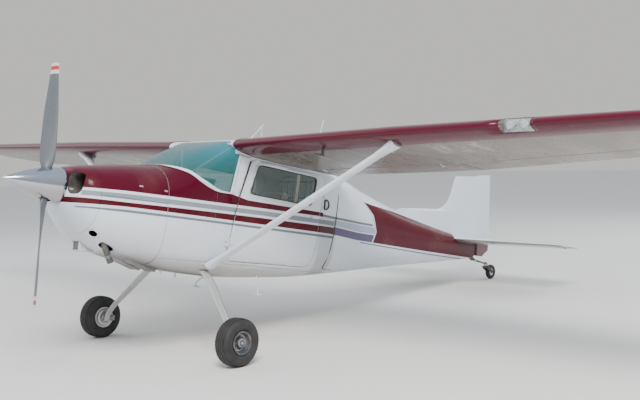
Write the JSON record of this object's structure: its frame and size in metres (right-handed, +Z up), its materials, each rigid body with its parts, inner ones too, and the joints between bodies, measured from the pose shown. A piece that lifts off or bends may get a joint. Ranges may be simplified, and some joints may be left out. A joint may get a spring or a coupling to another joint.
{
  "type": "light aircraft",
  "caption": "High-wing light aircraft with a tailwheel, strut-braced wing, hollow cabin, spring-leaf landing gear, control surfaces, doors and a turning propeller.",
  "frame": {"origin": "bottom centre of the bounding box, on the ground between the wheels and the tail", "axes": "+X towards the nose, +Y to port along the wing, +Z up from the ground"},
  "size_m": [7.993, 10.972, 2.9154],
  "materials": {
    "blade": "satin dark grey paint",
    "clear": "tinted clear sheet",
    "cloth": "woven cover",
    "grey_metal": "dull grey",
    "maroon": "gloss maroon paint",
    "polished": "polished",
    "steel": "bare spring steel",
    "trim": "matt dark lining",
    "tyre": "worn",
    "wheel": "painted cast rim",
    "white": "gloss white paint"
  },
  "bodies": {
    "airframe": {"nose_bowl": "white", "cowling_upper": "maroon", "cowling_lower": "white", "exhaust": "steel", "chin_intake": "white", "engine_block": "grey_metal", "firewall": "steel", "forward_fuselage": "maroon", "cabin_floor": "white", "cabin_side_left": "white", "cabin_side_right": "white", "cabin_roof": "white", "rear_bulkhead": "trim", "windscreen": "clear", "windscreen_brace": "trim", "antenna_front": "trim", "antenna_rear": "trim", "instrument_panel": "trim", "control_wheel_left": "trim", "control_wheel_right": "trim", "seat_left": "cloth", "seat_right": "cloth", "rear_bench": "cloth", "tailcone": "maroon", "fin": "white", "stabilizer": "white", "wing_left": "white", "wing_right": "white", "landing_light": "clear", "strut_left": "white", "strut_right": "white", "pitot_mast": "trim", "gear_leg_left": "steel", "gear_leg_right": "steel", "axle_left": "steel", "axle_right": "steel", "tail_spring": "steel"},
    "propeller": {"propeller": "blade", "spinner": "polished"},
    "wheel_left": {"wheel_left": "wheel", "tyre_left": "tyre"},
    "wheel_right": {"wheel_right": "wheel", "tyre_right": "tyre"},
    "tail_caster": {"tailwheel_fork": "steel"},
    "tailwheel": {"tailwheel_hub": "wheel", "tailwheel_tyre": "tyre"},
    "door_left": {"door_left": "white", "door_window_left": "clear"},
    "door_right": {"door_right": "white", "door_window_right": "clear"},
    "flap_left": {"flap_left": "white"},
    "flap_right": {"flap_right": "white"},
    "aileron_left": {"aileron_left": "white"},
    "aileron_right": {"aileron_right": "white"},
    "elevators": {"elevators": "white"},
    "rudder": {"rudder": "white"},
    "cowl_flap_left": {"cowl_flap_left": "white"},
    "cowl_flap_right": {"cowl_flap_right": "white"}
  },
  "joints": [
    {"name": "propeller_spin", "type": "hinge", "parent": "airframe", "child": "propeller", "pos_m": [3.58106, 0, 1.78845], "axis": [0.9843, 0, 0.1762], "continuous": true},
    {"name": "wheel_left_spin", "type": "hinge", "parent": "airframe", "child": "wheel_left", "pos_m": [2.30944, 1.158, 0.232], "axis": [0, 1, 0], "continuous": true},
    {"name": "wheel_right_spin", "type": "hinge", "parent": "airframe", "child": "wheel_right", "pos_m": [2.30944, -1.158, 0.232], "axis": [0, 1, 0], "continuous": true},
    {"name": "tailwheel_swivel", "type": "hinge", "parent": "airframe", "child": "tail_caster", "pos_m": [-3.7613, 0, 0.2078], "axis": [0, 0, 1], "range_deg": [-24, 24]},
    {"name": "tailwheel_spin", "type": "hinge", "parent": "tail_caster", "child": "tailwheel", "pos_m": [-3.88781, 0, 0.10865], "axis": [0, 1, 0], "continuous": true},
    {"name": "door_left_swing", "type": "hinge", "parent": "airframe", "child": "door_left", "pos_m": [1.81991, 0.547, 1.32077], "axis": [0.1762, 0, -0.9843], "range_deg": [0, 80]},
    {"name": "door_right_swing", "type": "hinge", "parent": "airframe", "child": "door_right", "pos_m": [1.81991, -0.547, 1.32077], "axis": [-0.1762, 0, 0.9843], "range_deg": [0, 80]},
    {"name": "flap_left_tilt", "type": "hinge", "parent": "airframe", "child": "flap_left", "pos_m": [0.56432, 0.6, 1.85812], "axis": [0.0046, -0.9997, -0.0258], "range_deg": [0, 40]},
    {"name": "flap_right_tilt", "type": "hinge", "parent": "airframe", "child": "flap_right", "pos_m": [0.56432, -0.6, 1.85812], "axis": [-0.0046, -0.9997, 0.0258], "range_deg": [0, 40]},
    {"name": "aileron_left_tilt", "type": "hinge", "parent": "airframe", "child": "aileron_left", "pos_m": [0.55692, 2.56, 1.90911], "axis": [-0.0779, -0.9958, -0.0483], "range_deg": [-20, 20]},
    {"name": "aileron_right_tilt", "type": "hinge", "parent": "airframe", "child": "aileron_right", "pos_m": [0.55692, -2.56, 1.90911], "axis": [0.0779, -0.9958, 0.0483], "range_deg": [-20, 20]},
    {"name": "elevator_tilt", "type": "hinge", "parent": "airframe", "child": "elevators", "pos_m": [-3.4563, 0, 0.60374], "axis": [0, -1, 0], "range_deg": [-26, 24]},
    {"name": "rudder_turn", "type": "hinge", "parent": "airframe", "child": "rudder", "pos_m": [-3.48884, 0, 0.41099], "axis": [-0.1007, 0, 0.9949], "range_deg": [-24, 24]},
    {"name": "cowl_flap_left_tilt", "type": "hinge", "parent": "airframe", "child": "cowl_flap_left", "pos_m": [2.82979, 0.13, 1.01393], "axis": [0, -1, 0], "range_deg": [-6, 0]},
    {"name": "cowl_flap_right_tilt", "type": "hinge", "parent": "airframe", "child": "cowl_flap_right", "pos_m": [2.82979, -0.13, 1.01393], "axis": [0, -1, 0], "range_deg": [-6, 0]}
  ],
  "couplings": [
    {"joint": "flap_right_tilt", "follows": "flap_left_tilt", "ratio": 1},
    {"joint": "aileron_right_tilt", "follows": "aileron_left_tilt", "ratio": -1},
    {"joint": "cowl_flap_right_tilt", "follows": "cowl_flap_left_tilt", "ratio": 1}
  ]
}
